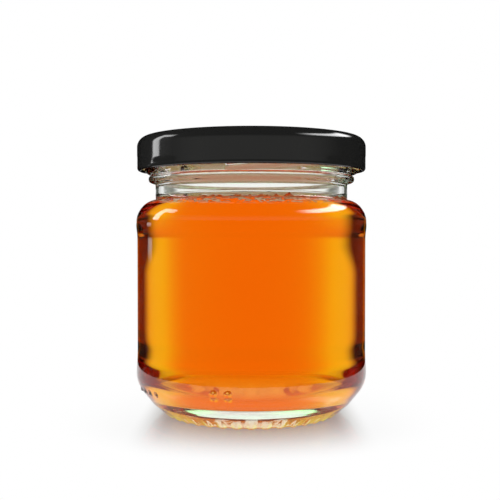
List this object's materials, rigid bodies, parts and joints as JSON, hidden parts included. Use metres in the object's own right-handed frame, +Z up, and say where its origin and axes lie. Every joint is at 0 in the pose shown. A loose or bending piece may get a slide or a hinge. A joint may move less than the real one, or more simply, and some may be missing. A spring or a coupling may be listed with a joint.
{
  "type": "honey jar",
  "caption": "Squat round glass jar of clear amber honey with a recessed label panel, banded shoulder and heel, and a black twist-off lid",
  "frame": {"origin": "centre of the foot, on the surface that the jar stands on", "axes": "+Z up along the jar's axis; -Y is the front, where the two pairs of pips on the heel are"},
  "size_m": [0.0698, 0.0698, 0.0831],
  "materials": {
    "clear_glass": "clear flint glass with a faint green cast, smooth",
    "amber_honey": "clear runny amber honey, see-through and glossy",
    "black_lacquer": "glossy black lacquer on tinplate, gold lacquer inside"
  },
  "bodies": {
    "root": {"glass_jar": "clear_glass", "honey": "amber_honey", "lid": "black_lacquer"}
  },
  "joints": []
}
